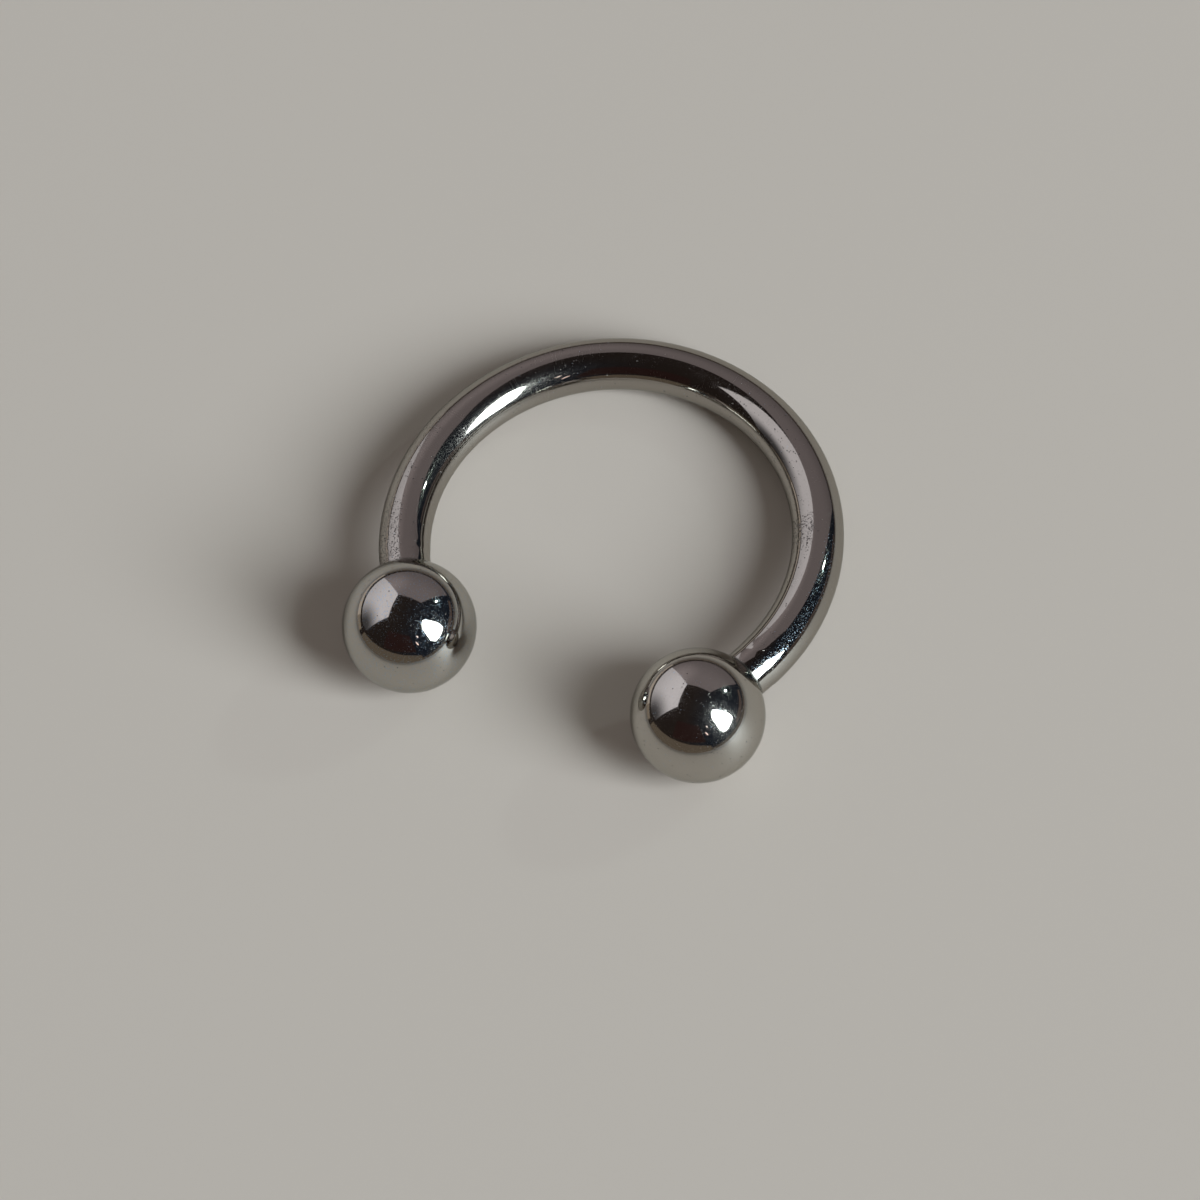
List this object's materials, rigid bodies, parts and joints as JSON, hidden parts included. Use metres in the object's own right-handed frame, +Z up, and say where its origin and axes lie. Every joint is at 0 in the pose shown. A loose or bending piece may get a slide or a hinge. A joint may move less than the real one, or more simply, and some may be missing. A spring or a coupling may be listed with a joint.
{
  "type": "horseshoe barbell",
  "caption": "Horseshoe barbell for a piercing: a polished round steel wire bent to an open ring, with a screw-on ball on each end.",
  "frame": {"origin": "under the middle of the outer box, on the surface the barbell lies on", "axes": "+X from the left ball to the right ball, +Y towards the back of the bend, +Z up from the surface"},
  "size_m": [0.0104, 0.0102, 0.003],
  "materials": {
    "bar_steel": "mirror-polished stainless steel wire with fine scratches and pits",
    "ball_steel": "mirror-polished stainless steel ball with fine scratches"
  },
  "bodies": {
    "bar": {"bar": "bar_steel"},
    "left_ball": {"left_ball": "ball_steel"},
    "right_ball": {"right_ball": "ball_steel"}
  },
  "joints": [
    {"name": "left_ball_unscrew", "type": "slide", "parent": "bar", "child": "left_ball", "axis": [0.4289, -0.8976, 0.102], "range_m": [0, 0.0025]},
    {"name": "right_ball_unscrew", "type": "slide", "parent": "bar", "child": "right_ball", "axis": [-0.4289, -0.8976, 0.102], "range_m": [0, 0.0025]}
  ]
}
